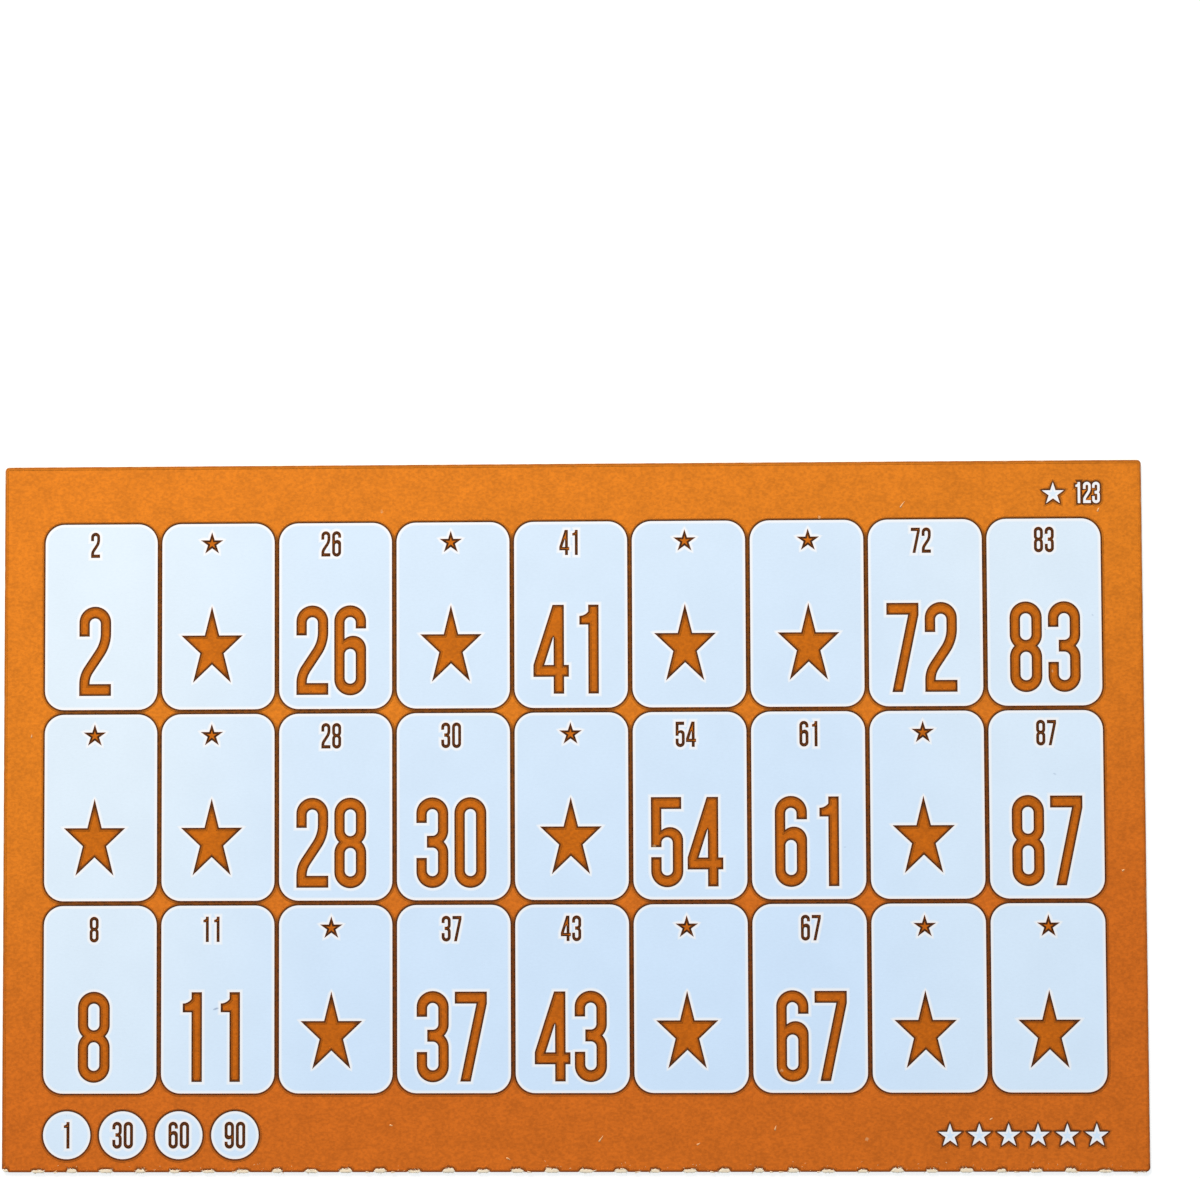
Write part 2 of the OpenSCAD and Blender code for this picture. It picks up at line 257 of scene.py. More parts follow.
def inward(point, edge):
    """Mitred step of each outline point into its face.

    With the unit normals m and n of the two edges at a point, the step (m + n) / (1 + m.n) keeps an equal
    distance from both; at sharp points the divisor is held at a least value, so that the step stays short.
    """
    _, normal, _ = normals(point, edge)
    step = np.zeros_like(point)
    np.add.at(step, edge[:, 0], normal)
    np.add.at(step, edge[:, 1], normal)
    return step / np.maximum((step * step).sum(1, keepdims=True) / 2, LEAST_MITRE)


def free_way(point, edge, step, outline, side):
    """How far each point can go along its step before another part of the outline is nearer than its own.

    At the distance t along the step s a point is d + t s.n away from an edge with the normal n, and that is t
    at t = d / (1 - s.n). A corner at g from the point is as near at t = g.g / (2 g.s). At a sharp corner a
    point goes no further than its neighbours. Side is 1 into the face and -1 out of it.
    """
    corner, sides = outline
    run, normal, length = normals(corner, sides)
    gap = corner[sides[:, 0]][None] - point[:, None]
    away = -side * (gap * normal[None]).sum(2)
    slack = 1 - side * step @ normal.T
    ahead = (gap * step[:, None]).sum(2)
    with np.errstate(divide="ignore", invalid="ignore"):
        way = away / slack
        along = (way * (step @ run.T) - (gap * run[None]).sum(2)) / length[None]
        ball = (gap * gap).sum(2) / (2 * ahead)
    meets = (away > TOUCHING) & (slack > CLOSING) & (along >= 0) & (along <= 1)
    way = np.where(meets, way, np.inf).min(1)
    way = np.minimum(way, np.where(ahead > TOUCHING, ball, np.inf).min(1))
    beside = np.zeros(len(point))
    np.maximum.at(beside, edge[:, 0], way[edge[:, 1]])
    np.maximum.at(beside, edge[:, 1], way[edge[:, 0]])
    return np.minimum(way, beside)


# Making pieces


def add_piece(name, point, faces, material, slot, replaced=(), smooth=True, **values):
    """Puts points in millimetres and faces into a mesh piece that rides on the card."""
    mesh = bpy.data.meshes.new(name)
    mesh.from_pydata((point * MM).tolist(), [], [f for part in faces for f in part.tolist()])
    flags = np.concatenate([np.full(len(part), smooth and part.shape[1] == 4) for part in faces])
    mesh.polygons.foreach_set("use_smooth", flags)
    for key, value in values.items():
        mesh.attributes.new(key, "FLOAT", "POINT").data.foreach_set("value", value.astype(np.float32).ravel())
    mesh.materials.append(material)
    mesh.update()
    piece = bpy.data.objects.new(name, mesh)
    bpy.context.scene.collection.objects.link(piece)
    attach(piece, "root")
    if replaced:
        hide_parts(*replaced)


def carried_sheet(point, triangle, edge, inset, height):
    """A closed sheet: a wall profile carried round the outline of a flat face, which is the cap at both ends.

    Ring k holds every outline point, moved by inset[k] along its step and raised to height[k].
    """
    rings, count = len(inset), len(point)
    flat = point[None] + inset[:, None, None] * inward(point, edge)[None]
    level = np.broadcast_to(height[:, None, None], (rings, count, 1))
    solid = np.concatenate([flat, level], 2).reshape(-1, 3)
    ring = np.arange(rings - 1)[:, None] * count
    first, last = edge[:, 0], edge[:, 1]
    wall = np.stack([ring + first, ring + last, ring + count + last, ring + count + first], -1)
    caps = np.concatenate([triangle[:, ::-1], triangle + (rings - 1) * count])
    return solid, (wall.reshape(-1, 4), caps)


def carried_ribbons(nodes, side, start, width, height):
    """Low ribbons beside the outlines of flat faces, each a closed profile carried along its outline.

    Row k lies at the share k of the width from the outline and at height[k]; the last row closes the profile
    under the first. Where two outlines come close, each ribbon narrows and stops short of the middle. Also
    gives how far each point lies from its outline, how far it is free to go, and the outline points.
    """
    share = np.append(np.linspace(0, 1, len(height) - 1), 0.0)
    solids, walls, moves, frees, places, total = [], [], [], [], [], 0
    for node in nodes:
        corner, _, outline = upper_face(node)
        point, edge = refined(corner, outline)
        step = side * inward(point, edge)
        free = free_way(point, edge, step, (corner, outline), side)
        inner = (near_cut(point) == 0) | (side > 0)
        used, edge = np.unique(edge[inner[edge].all(1)], return_inverse=True)
        edge, point, step, free = edge.reshape(-1, 2), point[used], step[used], free[used]
        room = np.clip(RIM_SHARE * free - start, LEAST_ROOM, width - start)
        move = start + share[:, None] * room[None]
        flat = point[None] + move[..., None] * step[None]
        level = np.broadcast_to(height[:, None, None], (*move.shape, 1))
        solids.append(np.concatenate([flat, level], 2).reshape(-1, 3))
        row = total + np.arange(len(height))[:, None] * len(used)
        after = np.roll(row, -1, 0)
        first, last = edge[:, ::side].T
        walls.append(np.stack([row + first, row + last, after + last, after + first], -1).reshape(-1, 4))
        moves.append(move.ravel())
        frees.append(np.tile(free, len(height)))
        places.append(np.tile(point, (len(height), 1)))
        total += move.size
    return np.concatenate(solids), np.concatenate(walls), *map(np.concatenate, (moves, frees, places))


def near_cut(point):
    """1 on the outline of the card, with its torn edge, and 0 elsewhere."""
    low, high = (np.array(corner[:2]) / MM for corner in cad_box)
    beside = np.minimum(point[:, 0] - low[0], high[0] - point[:, 0])
    return (np.minimum(beside, high[1] - point[:, 1]) < OUTER) | (point[:, 1] < low[1] + TEAR_ZONE)


def falling(move, width, hold):
    """1 at an outline and 0 at the width's end, falling smoothly; a hold above 1 keeps it at 1 for longer."""
    left = np.clip(hold * (1 - move / width), 0, 1)
    return left * left * (3 - 2 * left)


def ink_film(node, material):
    """An ink film with a level top and a quarter-round lip."""
    low, high = levels(node)
    turn = np.linspace(0, np.pi / 2, 5)
    inset, height = LIP * (1 - np.cos(turn)), low + (high - low) * np.sin(turn)
    solid, faces = carried_sheet(*upper_face(node), inset, height)
    add_piece(node + "_film", solid, faces, material, "orange_ink", (node,), build_up=np.zeros(len(solid)))


def squeezed_rims(name, nodes, material):
    """The ridge that the press squeezes up along the outline of every film: half a sine wave high.

    The build-up of ink falls smoothly across the rim, and stays high in lines that are too fine to have a
    middle. Along the cut and torn edges the rim's dark line, held weaker, also stands for painted shade of the
    card's edge.
    """
    top = levels(nodes[0])[1]
    height = top + SQUEEZE * np.sin(np.pi * np.linspace(*RIM_WAVE, RIM_STEPS))
    height = np.append(height, top - SUNK)
    solid, wall, move, free, place = carried_ribbons(nodes, 1, RIM_START, RIM, height)
    fine = np.clip((FINE_LINE - free) / FINE_FADE, 0, 1)
    build_up = np.maximum(falling(move, RIM, RIM_HOLD), fine)
    # Along the cut and torn edges the dark rim is weaker and also serves as painted shade of the edge.
    torn = place[:, 1] < cad_box[0].y / MM + TEAR_ZONE
    build_up *= np.where(torn, TORN_RIM_AND_SHADE, np.where(near_cut(place), CUT_RIM_AND_SHADE, 1.0))
    add_piece(name, solid, (wall,), material, "orange_ink", build_up=build_up)


def board_ply(node, shape, material, slot):
    """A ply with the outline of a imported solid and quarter-round cut edges above and below."""
    low, high = levels(node)
    turn = np.linspace(0, np.pi / 2, 4)
    inset = CUT_ROUND * np.concatenate([1 - np.sin(turn), 1 - np.cos(turn)])
    height = np.concatenate([low + CUT_ROUND * (1 - np.cos(turn)), high - CUT_ROUND * (1 - np.sin(turn))])
    solid, faces = carried_sheet(*upper_face(shape), inset, height)
    add_piece(node + "_sheet", solid, faces, material, slot, (node,))


def bare_lines(nodes, material):
    """The bare line in the face beside each ink outline, whiter than the tint of the cell behind it."""
    level = levels("face_ply")[1]
    height = np.append(np.full(BARE_STEPS, level + BARE_LIFT), level - SUNK)
    solid, wall, move, _, _ = carried_ribbons(nodes, -1, 0.0, BARE_LINE, height)
    bare = falling(move, BARE_LINE, BARE_HOLD)
    add_piece("bare_lines", solid, (wall,), material, "white_face", smooth=False, bare=bare)


def smoothed(values, times):
    """Values averaged with their neighbours along the first axis, several times over."""
    for _ in range(times):
        values = (np.roll(values, 1, 0) + 2 * values + np.roll(values, -1, 0)) / 4
    return values / values.std()


def lower_edge(node):
    """The y of a solid's lower outline as a function of x."""
    point, _, edge = upper_face(node)
    low = point[np.unique(edge)]
    low = low[low[:, 1] < cad_box[0].y / MM + TEAR_ZONE]
    low = low[np.argsort(low[:, 0])]
    return lambda x: np.interp(x, low[:, 0], low[:, 1])


def torn_edge(material, rng):
    """The broken pulp along the perforation, as one closed profile carried along x.

    On its open side a point goes from the torn face out to the tip of the back liner: almost level where a
    tie broke, and upright where the knife cut. A smoothed random spread roughens what broke. Two more rows
    close the profile inside the board.
    """
    face_y, back_y = lower_edge("face_ply"), lower_edge("back_ply")
    upper, lower = levels("face_ply")[1] - CUT_ROUND, levels("back_ply")[1] / 2
    reach = cad_box[1].x / MM - 0.1
    x = np.linspace(-reach, reach, TORN_COLUMNS)[:, None]
    out, down = np.array([TORN_OUT]), np.array([TORN_DOWN])
    depth = face_y(x) - back_y(x)
    broken = np.clip(depth / BROKEN_DEPTH, 0, 1)
    shape = (TORN_COLUMNS, out.size)
    rough = broken * RAGGED * np.sin(np.pi * (0.05 + 0.95 * out))
    y = face_y(x) - depth * out - PROUD + rough * smoothed(rng.normal(size=shape), 3)
    drop = broken * down + (1 - broken) * out
    z = upper + (lower - upper) * drop + RAGGED_UP * rough * smoothed(rng.normal(size=shape), 3)
    y = np.concatenate([y, np.repeat(face_y(x) + ROOTED, 2, 1)], 1)
    z = np.concatenate([np.maximum(z, lower), np.repeat([[lower, upper]], TORN_COLUMNS, 0)], 1)
    rows = out.size + 2
    solid = np.stack([np.broadcast_to(x, y.shape), y, z], -1).reshape(-1, 3)
    at = np.arange(TORN_COLUMNS - 1)[:, None] * rows
    row, after = np.arange(rows), np.roll(np.arange(rows), -1)
    wall = np.stack([at + row, at + after, at + rows + after, at + rows + row], -1).reshape(-1, 4)
    ends = np.stack([row[::-1], row + (TORN_COLUMNS - 1) * rows])
    pressed = np.repeat(1 - broken, rows, 1)
    none = np.zeros(len(solid))
    add_piece("torn_edge", solid, (wall, ends), material, "pulp_core", pressed=pressed, inked=none)


def fibre_strands(root, way, length, bend, radius, steps=5, sides=4):
    """Many tapering strands at once: a diamond profile carried along root + t length way + t^2 bend.

    The radius falls as the square root of what is left of the strand.
    """
    t = np.linspace(0, 1, steps)[None, :, None]
    middle = root[:, None] + t * (length[:, None] * way)[:, None] + t**2 * bend[:, None]
    across = np.cross(way, [0.0, 0.0, 1.0])
    across /= np.linalg.norm(across, axis=1, keepdims=True)
    over = np.cross(across, way)
    turn = np.arange(sides) * 2 * np.pi / sides
    ring = np.cos(turn)[None, :, None] * across[:, None] + np.sin(turn)[None, :, None] * over[:, None]
    size = radius[:, None, None, None] * np.sqrt(1 - 0.96 * t)[..., None]
    solid = (middle[:, :, None] + size * ring[:, None]).reshape(-1, 3)
    strand = np.arange(len(root))[:, None, None] * steps * sides
    at = strand + np.arange(steps - 1)[None, :, None] * sides
    side, after = np.arange(sides), np.roll(np.arange(sides), -1)
    wall = np.stack([at + side, at + sides + side, at + sides + after, at + after], -1).reshape(-1, sides)
    first = strand[:, 0] + side
    last = strand[:, 0] + (steps - 1) * sides + side[::-1]
    return solid, wall, np.concatenate([first, last])


def tie_fibres(material, rng):
    """Strands of pulp at every broken tie: most stand outwards, and some are laid back over the print."""
    face_y, back_y = lower_edge("face_ply"), lower_edge("back_ply")
    low, high = cad_box[0].x / MM, cad_box[1].x / MM
    tie = np.arange(low + FIRST_TIE, high - 1, TIE_PITCH)
    count = len(tie) * TIE_FIBRES
    x = np.repeat(tie, TIE_FIBRES) + rng.uniform(-TIE_SPREAD, TIE_SPREAD, count)
    down = rng.uniform(0.02, 0.9, count)
    back_over = rng.random(count) < LAID_BACK
    y = np.where(back_over, face_y(x) - 0.06, face_y(x) + (back_y(x) - face_y(x)) * down**0.7)
    z = np.where(back_over, levels("ground_print")[1] + LIE, levels("face_ply")[1] * (1 - down) + 0.03)
    turn = rng.uniform(-1.0, 1.0, count) + np.where(back_over, np.pi / 2, -np.pi / 2)
    rise = np.where(back_over, rng.uniform(0.0, 0.12, count), rng.uniform(-0.1, 0.25, count))
    way = np.stack([np.cos(turn), np.sin(turn), rise], 1)
    way /= np.linalg.norm(way, axis=1, keepdims=True)
    length = np.where(back_over, rng.uniform(*LAID_LENGTH, count), rng.uniform(*OUT_LENGTH, count))
    bend = [rng.normal(0, 0.08, count), rng.normal(0, 0.03, count), rng.uniform(-0.03, 0.02, count)]
    bend = np.stack(bend, 1)
    radius = rng.uniform(*FIBRE_RADIUS, count)
    solid, wall, ends = fibre_strands(np.stack([x, y, z], 1), way, length, bend, radius)
    none = np.zeros(len(solid))
    add_piece("tie_fibres", solid, (wall, ends), material, "pulp_core", pressed=none, inked=none)


def lying_fibres(name, spot, radius, inked, material, rng):
    """Single strands that lie pressed on the ink film: rows of x, y, turn and length."""
    turn = np.radians(spot[:, 2])
    level = np.full(len(spot), levels("ground_print")[1] + LIE)
    way = np.stack([np.cos(turn), np.sin(turn), np.full(len(spot), 0.02)], 1)
    root = np.stack([spot[:, 0], spot[:, 1], level], 1) - 0.5 * spot[:, 3:] * way * [1, 1, 0]
    bend = rng.normal(0, FIBRE_BEND, (len(spot), 3)) * spot[:, 3:] * [1, 1, 0]
    solid, wall, ends = fibre_strands(root, way, spot[:, 3], bend, radius)
    solid[:, 2] = level[0] + PRESSED * (solid[:, 2] - level[0])
    none = np.zeros(len(solid))
    add_piece(name, solid, (wall, ends), material, "pulp_core", pressed=none, inked=none + inked)


def pulled_fibres(material, rng):
    """The strands that the press pulled through the ink."""
    spot = np.array(PULLED_FIBRES)
    lying_fibres("pulled_fibres", spot, rng.uniform(*PULLED_RADIUS, len(spot)), INKED, material, rng)


def crumbs(material, rng):
    """Short crumbs of pulp strewn at random over the ink, thinning out above the torn face."""
    x = rng.uniform(-1, 1, CRUMBS) * (cad_box[1].x / MM - 1)
    y = lower_edge("face_ply")(x) + CRUMB_NEAR + CRUMB_FAR * rng.random(CRUMBS) ** 2
    spot = np.stack([x, y, rng.uniform(0, 360, CRUMBS), rng.uniform(*CRUMB_LENGTH, CRUMBS)], 1)
    lying_fibres("crumbs", spot, rng.uniform(*CRUMB_RADIUS, CRUMBS), INKED, material, rng)


def flakes(material, rng):
    """Flakes of pulp that the tearing left hanging along the cut between the ties."""
    x = rng.uniform(-1, 1, FLAKES) * (cad_box[1].x / MM - 1)
    turn, length = rng.uniform(-FLAKE_TURN, FLAKE_TURN, FLAKES), rng.uniform(*FLAKE_LENGTH, FLAKES)
    spot = np.stack([x, lower_edge("face_ply")(x), turn, length], 1)
    lying_fibres("flakes", spot, rng.uniform(*FLAKE_RADIUS, FLAKES), FLAKE_INKED, material, rng)


# Materials


def put(tree, kind, inputs=None, **settings):
    """A node with its settings, and with a value or a link on each named input."""
    made = tree.nodes.new(kind)
    for key, value in settings.items():
        setattr(made, key, value)
    for key, value in (inputs or {}).items():
        if isinstance(value, bpy.types.NodeSocket):
            tree.links.new(value, made.inputs[key])
        else:
            made.inputs[key].default_value = value
    return made


def calc(tree, operation, a, b=0.0, clamp=False):
    """The result of a Math node."""
    return put(tree, "ShaderNodeMath", {0: a, 1: b}, operation=operation, use_clamp=clamp).outputs[0]


def spread(tree, value, low, high, to_low=0.0, to_high=1.0):
    """A value mapped smoothly from one range to another."""
    inputs = {"Value": value, "From Min": low, "From Max": high, "To Min": to_low, "To Max": to_high}
    return put(tree, "ShaderNodeMapRange", inputs, interpolation_type="SMOOTHSTEP").outputs["Result"]


def blend(tree, factor, a, b, way="MIX"):
    """Two colours mixed by a factor."""
    return put(tree, "ShaderNodeMix", {0: factor, 6: a, 7: b}, data_type="RGBA", blend_type=way).outputs[2]


def place_of(tree):
    return put(tree, "ShaderNodeTexCoord").outputs["Object"]


def noise(tree, place, scale, detail=2.0, roughness=0.55):
    inputs = {"Vector": place, "Scale": scale, "Detail": detail, "Roughness": roughness}
    return put(tree, "ShaderNodeTexNoise", inputs).outputs["Fac"]


def new_group(name, inputs, outputs):
    """A shader node group with its value inputs, and its input and output nodes."""
    tree = bpy.data.node_groups.new(name, "ShaderNodeTree")
    for key, value in inputs.items():
        tree.interface.new_socket(key, in_out="INPUT", socket_type="NodeSocketFloat").default_value = value
    for key in outputs:
        tree.interface.new_socket(key, in_out="OUTPUT", socket_type="NodeSocketFloat")
    return tree, put(tree, "NodeGroupInput").outputs, put(tree, "NodeGroupOutput").inputs


def use(tree, group, **inputs):
    """The outputs of a group placed in a material with its own values."""
    made = put(tree, "ShaderNodeGroup", node_tree=group)
    for key, value in inputs.items():
        made.inputs[key.replace("_", " ")].default_value = value
    return made.outputs


def paper_tooth():
    """Felted fibres of the board: a fine tooth drawn out along the machine direction, and broad clouds."""
    inputs = {"Fine": 5000, "Broad": 300, "Draw": 0.45}
    tree, have, give = new_group("paper tooth", inputs, ("Tooth", "Clouds"))
    place = place_of(tree)
    drawn = put(tree, "ShaderNodeCombineXYZ", {"X": have["Draw"], "Y": 1.0, "Z": 1.0}).outputs[0]
    felt = put(tree, "ShaderNodeVectorMath", {0: place, 1: drawn}, operation="MULTIPLY").outputs[0]
    tree.links.new(noise(tree, felt, have["Fine"], 4.0, 0.62), give["Tooth"])
    tree.links.new(noise(tree, place, have["Broad"], 3.0, 0.5), give["Clouds"])
    return tree


def stray_flecks():
    """Sparse specks of uneven outline: the few cells of a warped cell pattern whose random value is low."""
    tree, have, give = new_group("stray flecks", {"Scale": 700, "Share": 0.1, "Size": 0.3}, ("Mask",))
    place = place_of(tree)
    warp = put(tree, "ShaderNodeTexNoise", {"Vector": place, "Scale": 6000.0, "Detail": 1.0}).outputs["Color"]
    shift = put(tree, "ShaderNodeVectorMath", {0: warp, "Scale": 0.00035}, operation="SCALE").outputs[0]
    warped = put(tree, "ShaderNodeVectorMath", {0: place, 1: shift}, operation="ADD").outputs[0]
    cell = put(tree, "ShaderNodeTexVoronoi", {"Vector": warped, "Scale": have["Scale"]})
    random = put(tree, "ShaderNodeSeparateColor", {0: cell.outputs["Color"]}).outputs[0]
    chosen = calc(tree, "LESS_THAN", random, have["Share"])
    near = calc(tree, "DIVIDE", cell.outputs["Distance"], have["Size"])
    tree.links.new(calc(tree, "MULTIPLY", chosen, spread(tree, near, 0.6, 1.0, 1.0, 0.0)), give["Mask"])
    return tree


def handled_edge():
    """Rub along the card's outline: 1 at the cut, fading over a reach that a noise makes uneven."""
    half = {"Half width": cad_box[1].x, "Half height": cad_box[1].y, "Reach": 0.4 * MM}
    tree, have, give = new_group("handled edge", half, ("Mask",))
    place = place_of(tree)
    axis = put(tree, "ShaderNodeSeparateXYZ", {0: place}).outputs
    aside = calc(tree, "SUBTRACT", calc(tree, "ABSOLUTE", axis["X"]), have["Half width"])
    above = calc(tree, "SUBTRACT", calc(tree, "ABSOLUTE", axis["Y"]), have["Half height"])
    inside = calc(tree, "DIVIDE", calc(tree, "MAXIMUM", aside, above), have["Reach"])
    uneven = calc(tree, "MULTIPLY", noise(tree, place, 900.0, 3.0), 2.4)
    tree.links.new(spread(tree, calc(tree, "ADD", inside, uneven), 0.6, 1.3), give["Mask"])
    return tree


def painted_shade_run():
    """How far down the card a place lies, which sets the painted shade of the inks and the face: 0 at the top
    left and 1 at the bottom right.

    The share rises over a reach to both sides of a slanting middle line.
    """
    inputs = {"Aside": 0.2, "Middle": 3 * MM, "Reach": 24 * MM}
    tree, have, give = new_group("painted shade run", inputs, ("Share",))
    axis = put(tree, "ShaderNodeSeparateXYZ", {0: place_of(tree)}).outputs
    slope = calc(tree, "SUBTRACT", calc(tree, "MULTIPLY", axis["X"], have["Aside"]), axis["Y"])
    along = calc(tree, "DIVIDE", calc(tree, "SUBTRACT", slope, have["Middle"]), have["Reach"])
    tree.links.new(spread(tree, along, -1.0, 1.0), give["Share"])
    return tree


def scuff():
    """One short rubbed mark: 1 inside an ellipse about a point, with a broken border."""
    inputs = {"X": 0.0, "Y": 0.0, "Half length": 0.4 * MM, "Half width": 0.1 * MM, "Turn": 0.0}
    tree, have, give = new_group("scuff", inputs, ("Mask",))
    place = place_of(tree)
    spot = put(tree, "ShaderNodeCombineXYZ", {"X": have["X"], "Y": have["Y"]}).outputs[0]
    away = put(tree, "ShaderNodeVectorMath", {0: place, 1: spot}, operation="SUBTRACT").outputs[0]
    turning = {"Vector": away, "Angle": have["Turn"]}
    turned = put(tree, "ShaderNodeVectorRotate", turning, rotation_type="Z_AXIS").outputs[0]
    axis = put(tree, "ShaderNodeSeparateXYZ", {0: turned}).outputs
    along = calc(tree, "DIVIDE", axis["X"], have["Half length"])
    across = calc(tree, "DIVIDE", axis["Y"], have["Half width"])
    along, across = (calc(tree, "MULTIPLY", way, way) for way in (along, across))
    border = calc(tree, "MULTIPLY", noise(tree, place, 7000.0, 2.0), 1.2)
    far = calc(tree, "ADD", calc(tree, "ADD", along, across), border)
    tree.links.new(spread(tree, far, 0.6, 1.6, 1.0, 0.0), give["Mask"])
    return tree


def new_material(name, roughness, specular):
    """An empty material with its shader's plain values set."""
    made = bpy.data.materials.new(name)
    made.use_nodes = True
    tree = made.node_tree
    shader = tree.nodes["Principled BSDF"]
    shader.inputs["Roughness"].default_value = roughness
    shader.inputs["Specular IOR Level"].default_value = specular
    return made, tree, shader


def bump(tree, shader, height, depth, strength=1.0):
    """Turns a height of 0 to 1 into a relief of that depth in millimetres."""
    inputs = {"Height": height, "Distance": depth * MM, "Strength": strength}
    tree.links.new(put(tree, "ShaderNodeBump", inputs).outputs[0], shader.inputs["Normal"])


def attribute(tree, name):
    return put(tree, "ShaderNodeAttribute", attribute_name=name).outputs["Fac"]


def orange_ink(name, light, deep):
    """Orange ink on board: its colour deepens down the card as painted shade that follows the light's
    fall-off, the squeezed rims are dark and along the cut and torn edges also stand for painted shade, the
    film is mottled over the felt of the paper, and fibres show through as pale flecks."""
    made, tree, shader = new_material(name, 0.6, 0.1)
    tooth = use(tree, TOOTH, Fine=3400.0, Broad=420.0, Draw=0.8)
    mottle = spread(tree, tooth["Tooth"], 0.3, 0.7, 0.85, 1.12)
    clouds = spread(tree, tooth["Clouds"], 0.25, 0.75, 0.945, 1.055)
    # Painted shade: the colour turns darker and deeper towards the lower right, where the light falls off.
    colour = blend(tree, use(tree, PAINTED_SHADE_RUN)["Share"], (*light, 1.0), (*deep, 1.0))
    both = calc(tree, "MULTIPLY", mottle, clouds)
    colour = blend(tree, 1.0, colour, both, "MULTIPLY")
    # Dark rim: ink build-up, and along the cut and torn edges also painted shade of the edge.
    rim = attribute(tree, "build_up")
    rim = calc(tree, "MULTIPLY", rim, spread(tree, tooth["Tooth"], 0.3, 0.7, 0.85, 1.1), clamp=True)
    colour = blend(tree, rim, colour, (0.055, 0.017, 0.004, 1.0))
    flecks = use(tree, FLECKS, Scale=420.0, Share=0.035, Size=0.1)["Mask"]
    colour = blend(tree, calc(tree, "MULTIPLY", flecks, 0.45), colour, (0.86, 0.5, 0.22, 1.0))
    worn = use(tree, HANDLED, Reach=0.16 * MM)["Mask"]
    colour = blend(tree, calc(tree, "MULTIPLY", worn, 0.35), colour, (0.9, 0.62, 0.36, 1.0))
    tree.links.new(colour, shader.inputs["Base Color"])
    tree.links.new(spread(tree, tooth["Tooth"], 0.3, 0.7, 0.52, 0.7), shader.inputs["Roughness"])
    bump(tree, shader, tooth["Tooth"], 0.012)
    return made


def white_face():
    """Bluish white coated board: a tint that turns bluer down the card as painted shade and pales towards its
    sides, faint clouds, a fine tooth, a few grey specks and scuffs, and no tint beside the ink."""
    made, tree, shader = new_material("white coated face", 0.5, 0.25)
    tooth = use(tree, TOOTH, Fine=4600.0, Broad=160.0, Draw=0.5)
    # Painted shade: the tint turns bluer towards the lower right, where the warm light falls off.
    down = use(tree, PAINTED_SHADE_RUN, Aside=0.35, Middle=0.0, Reach=46 * MM)["Share"]
    colour = blend(tree, down, (0.755, 0.85, 0.925, 1.0), (0.735, 0.865, 0.995, 1.0))
    across = put(tree, "ShaderNodeSeparateXYZ", {0: place_of(tree)}).outputs["X"]
    sides = spread(tree, calc(tree, "ABSOLUTE", across), *PALE_SIDES)
    paler = blend(tree, sides, (0.972, 0.983, 1.0, 1.0), (1.065, 1.035, 1.0, 1.0))
    colour = blend(tree, 1.0, colour, paler, "MULTIPLY")
    clouds = spread(tree, tooth["Clouds"], 0.25, 0.75, 0.987, 1.012)
    colour = blend(tree, 1.0, colour, clouds, "MULTIPLY")
    fibre = spread(tree, tooth["Tooth"], 0.3, 0.7, 0.985, 1.01)
    colour = blend(tree, 1.0, colour, fibre, "MULTIPLY")
    colour = blend(tree, attribute(tree, "bare"), colour, (0.995, 0.965, 0.93, 1.0))
    specks = use(tree, FLECKS, Scale=260.0, Share=0.05, Size=0.035)["Mask"]
    colour = blend(tree, calc(tree, "MULTIPLY", specks, 0.3), colour, (0.5, 0.55, 0.6, 1.0))
    for x, y, length, width, turn, strength in SCUFFS:
        mark = use(tree, SCUFF, X=x * MM, Y=y * MM, Half_length=length * MM, Half_width=width * MM,
                   Turn=math.radians(turn))["Mask"]
        colour = blend(tree, calc(tree, "MULTIPLY", mark, strength), colour, (0.36, 0.43, 0.55, 1.0))
    tree.links.new(colour, shader.inputs["Base Color"])
    tree.links.new(spread(tree, tooth["Clouds"], 0.3, 0.7, 0.46, 0.58), shader.inputs["Roughness"])
    bump(tree, shader, tooth["Tooth"], 0.005)
    return made


def pulp_core():
    """Cream pulp: long felted fibres, darker where the knife pressed the edge."""
    made, tree, shader = new_material("cream pulp", 0.85, 0.15)
    tooth = use(tree, TOOTH, Fine=9000.0, Broad=1500.0, Draw=0.35)
    felt = spread(tree, tooth["Tooth"], 0.3, 0.7)
    colour = blend(tree, felt, (1.0, 0.76, 0.49, 1.0), (1.0, 0.83, 0.6, 1.0))
    colour = blend(tree, spread(tree, tooth["Clouds"], 0.4, 0.8, 0.0, 0.35), colour, (1.0, 0.86, 0.66, 1.0))
    colour = blend(tree, attribute(tree, "inked"), colour, (1.0, 0.48, 0.16, 1.0))
    pressed = calc(tree, "MULTIPLY", attribute(tree, "pressed"), 0.6)
    colour = blend(tree, pressed, colour, blend(tree, 1.0, colour, (0.55, 0.42, 0.3, 1.0), "MULTIPLY"))
    tree.links.new(colour, shader.inputs["Base Color"])
    tree.links.new(spread(tree, tooth["Clouds"], 0.3, 0.7, 0.78, 0.92), shader.inputs["Roughness"])
    bump(tree, shader, tooth["Tooth"], 0.008)
    return made


